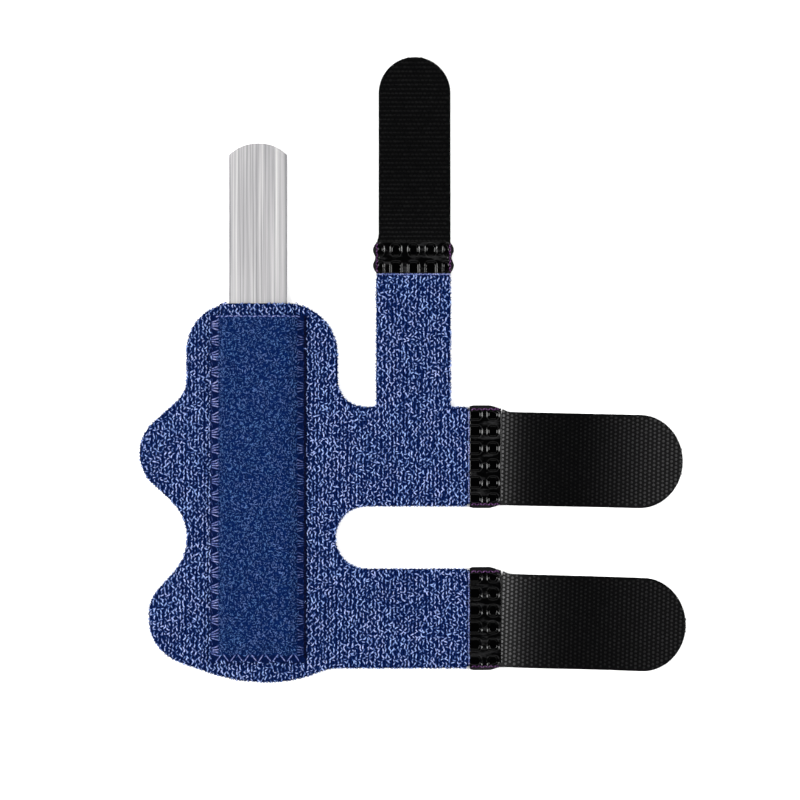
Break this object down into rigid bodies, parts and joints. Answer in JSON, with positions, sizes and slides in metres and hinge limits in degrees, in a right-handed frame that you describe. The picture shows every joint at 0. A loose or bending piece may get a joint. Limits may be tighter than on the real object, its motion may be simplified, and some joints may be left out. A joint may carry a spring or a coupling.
{
  "type": "finger splint",
  "caption": "Opened-out knitted finger splint with a velour pocket panel, a sliding aluminium stay and hook straps on embossed joint bands.",
  "frame": {"origin": "on the resting face of the back ply, under the middle of the stay's pocket", "axes": "+X towards the two finger straps, +Y along the finger towards the end where the stay comes out, +Z out of the front face"},
  "size_m": [0.146, 0.1671, 0.0056],
  "materials": {
    "knit": "looped blue knit with lighter loop heads",
    "velour": "brushed dark blue velour",
    "stay_metal": "fine brushed along its length",
    "hook_tape": "black hook tape with rows of small hooks",
    "joint_plastic": "glossy black, pressed with rows of pits"
  },
  "bodies": {
    "wrap": {"wrap": "knit", "pocket_panel": "velour", "strap_top": "hook_tape", "strap_upper": "hook_tape", "strap_lower": "hook_tape", "joint_band_top": "joint_plastic", "joint_band_upper": "joint_plastic", "joint_band_lower": "joint_plastic"},
    "stay": {"stay": "stay_metal"}
  },
  "joints": [
    {"name": "stay_slide", "type": "slide", "parent": "wrap", "child": "stay", "axis": [0, 1, 0], "range_m": [-0.0425, 0.04]}
  ]
}
